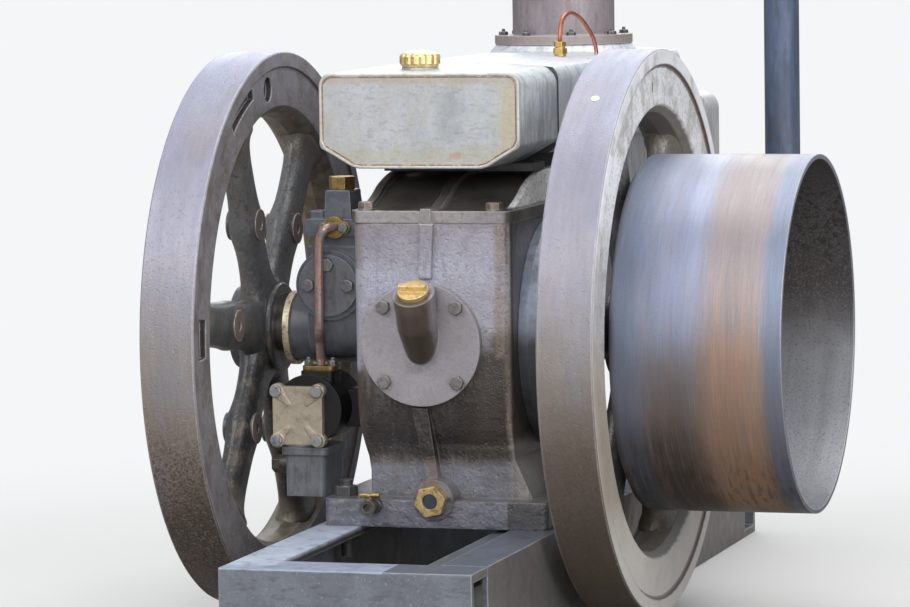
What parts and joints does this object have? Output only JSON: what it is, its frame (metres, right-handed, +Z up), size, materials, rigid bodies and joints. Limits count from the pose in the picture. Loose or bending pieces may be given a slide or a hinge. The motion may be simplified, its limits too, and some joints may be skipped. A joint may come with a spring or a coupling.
{
  "type": "horizontal single-cylinder oil engine with hopper cooling",
  "caption": "Horizontal single-cylinder hopper-cooled stationary oil engine on a steel channel frame, with two spoked flywheels and a flat belt pulley",
  "frame": {"origin": "the middle of the part's box, on the floor under the frame", "axes": "+Z up, +Y along the cylinder from the crankcase end to the cylinder head end, +X along the crankshaft to the belt pulley"},
  "size_m": [0.813, 1.552, 1.021],
  "materials": {
    "cast_iron": "satin",
    "frame_paint": "satin",
    "sheet_steel": "satin",
    "bare_steel": "satin",
    "brass": "satin",
    "copper_pipe": "satin",
    "glass": "gloss"
  },
  "bodies": {
    "engine": {"frame_rail_left": "frame_paint", "frame_rail_right": "frame_paint", "front_cross_beam": "frame_paint", "rear_cross_beam": "frame_paint", "inner_ledge": "frame_paint", "holding_down_bolts": "bare_steel", "crankcase": "cast_iron", "crankcase_top_cover": "cast_iron", "round_front_cover": "cast_iron", "oil_filler_cap": "brass", "sight_glass_nut": "brass", "sight_glass": "glass", "drain_cock": "brass", "bearing_housing": "cast_iron", "governor_housing": "cast_iron", "governor_plate": "cast_iron", "governor_end_flange": "brass", "pump_block": "cast_iron", "pump_plug": "brass", "pipe_flange": "brass", "fuel_pipe": "copper_pipe", "filter_housing": "cast_iron", "filter_inlet_flange": "brass", "filter_cover": "brass", "filter_bowl": "cast_iron", "filter_side_plug": "brass", "fuel_tank": "sheet_steel", "tank_cap": "brass", "tank_brackets": "sheet_steel", "water_hopper": "sheet_steel", "steam_pipe": "sheet_steel", "overflow_fitting": "brass", "overflow_pipe": "copper_pipe", "cylinder_block": "cast_iron", "cylinder_head": "cast_iron", "rocker_cover": "sheet_steel", "exhaust_elbow": "cast_iron", "exhaust_pipe": "sheet_steel", "air_intake": "sheet_steel"},
    "crank_group": {"crankshaft": "bare_steel", "flywheel_left": "bare_steel", "flywheel_right": "bare_steel", "belt_pulley": "bare_steel"},
    "cock_handle": {"drain_cock_handle": "brass"}
  },
  "joints": [
    {"name": "crankshaft_turns", "type": "hinge", "parent": "engine", "child": "crank_group", "pos_m": [-0.1035, -0.184, 0.401], "axis": [1, 0, 0], "continuous": true},
    {"name": "drain_cock_turns", "type": "hinge", "parent": "engine", "child": "cock_handle", "pos_m": [-0.145, -0.4092, 0.196], "axis": [0, 0, 1], "range_deg": [0, 90]}
  ]
}
